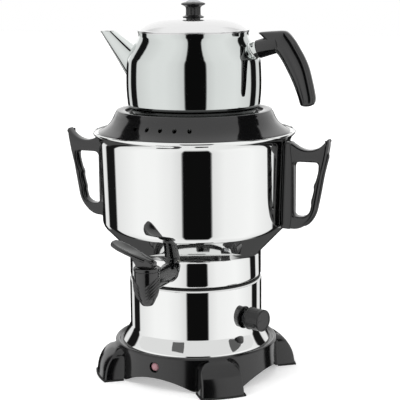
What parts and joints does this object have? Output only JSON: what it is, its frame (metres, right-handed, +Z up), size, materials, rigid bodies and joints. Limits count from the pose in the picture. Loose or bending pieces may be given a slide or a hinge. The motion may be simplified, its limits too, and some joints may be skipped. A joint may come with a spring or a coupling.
{
  "type": "electric samovar",
  "caption": "Polished steel electric samovar with a footed black base, plug-cock tap, side handles, control knob and a teapot standing in the vented ring on top.",
  "frame": {"origin": "on the floor, on the upright axis of the boiler", "axes": "+Z up, the tap faces -Y, the grip of the teapot points to +X and its spout to -X"},
  "size_m": [0.3226, 0.2656, 0.4317],
  "materials": {
    "black_plastic": "moulded, semi gloss",
    "knob_plastic": "moulded, semi gloss",
    "grip_plastic": "moulded, semi gloss",
    "polished_steel": "mirror-polished stainless steel",
    "steel": "zinc-plated, plain",
    "aluminium_cap": "satin",
    "rubber": "matt",
    "lens": "translucent red",
    "neon": "clear glass envelope",
    "white_plastic": "matt, heat resistant",
    "wire": "sleeved wire",
    "brass": "plain",
    "element_steel": "plain tube",
    "switch_metal": "plain pressed",
    "plug_plastic": "matt",
    "silicone": "matt"
  },
  "bodies": {
    "samovar": {"base_shell": "black_plastic", "foot_pads": "rubber", "bottom_cover": "black_plastic", "bottom_screws": "steel", "cord_gland": "black_plastic", "lamp_holder": "black_plastic", "lamp_lens": "lens", "neon_bulb": "neon", "terminal_block": "white_plastic", "wiring": "wire", "lower_drum": "polished_steel", "tie_rod": "steel", "tie_nut": "steel", "thermostat": "switch_metal", "thermostat_nut": "brass", "seam_ring": "rubber", "boiler_vessel": "polished_steel", "heating_element": "element_steel", "heater_gaskets": "silicone", "heater_nuts": "brass", "thermal_cutout": "switch_metal", "left_handle": "black_plastic", "right_handle": "black_plastic", "handle_screws": "steel", "handle_seals": "silicone", "tap_body": "black_plastic", "tap_washers": "silicone", "tap_nut": "black_plastic", "tap_cap": "black_plastic"},
    "control": {"control_knob": "knob_plastic", "thermostat_shaft": "steel"},
    "tap_key": {"tap_plug": "plug_plastic", "tap_lever": "black_plastic", "tap_screw": "steel", "tap_oring": "rubber"},
    "seat": {"seat_ring": "black_plastic"},
    "teapot": {"teapot_body": "polished_steel", "teapot_spout": "polished_steel", "grip_bracket": "polished_steel", "teapot_grip": "grip_plastic", "grip_bolt": "steel"},
    "lid": {"lid_shell": "polished_steel", "lid_knob": "black_plastic", "knob_cap": "aluminium_cap", "lid_screw": "steel", "lid_washer": "silicone"}
  },
  "joints": [
    {"name": "control_turn", "type": "hinge", "parent": "samovar", "child": "control", "pos_m": [0.0856, -0.02781, 0.0745], "axis": [0.9511, -0.309, 0], "range_deg": [-270, 0]},
    {"name": "tap_turn", "type": "hinge", "parent": "samovar", "child": "tap_key", "pos_m": [0, -0.135, 0.133], "axis": [0, 0, 1], "range_deg": [0, 90]},
    {"name": "seat_lift", "type": "slide", "parent": "samovar", "child": "seat", "axis": [0, 0, 1], "range_m": [0, 0.12]},
    {"name": "teapot_lift", "type": "slide", "parent": "seat", "child": "teapot", "axis": [0, 0, 1], "range_m": [0, 0.15]},
    {"name": "lid_lift", "type": "slide", "parent": "teapot", "child": "lid", "axis": [0, 0, 1], "range_m": [0, 0.1]}
  ]
}
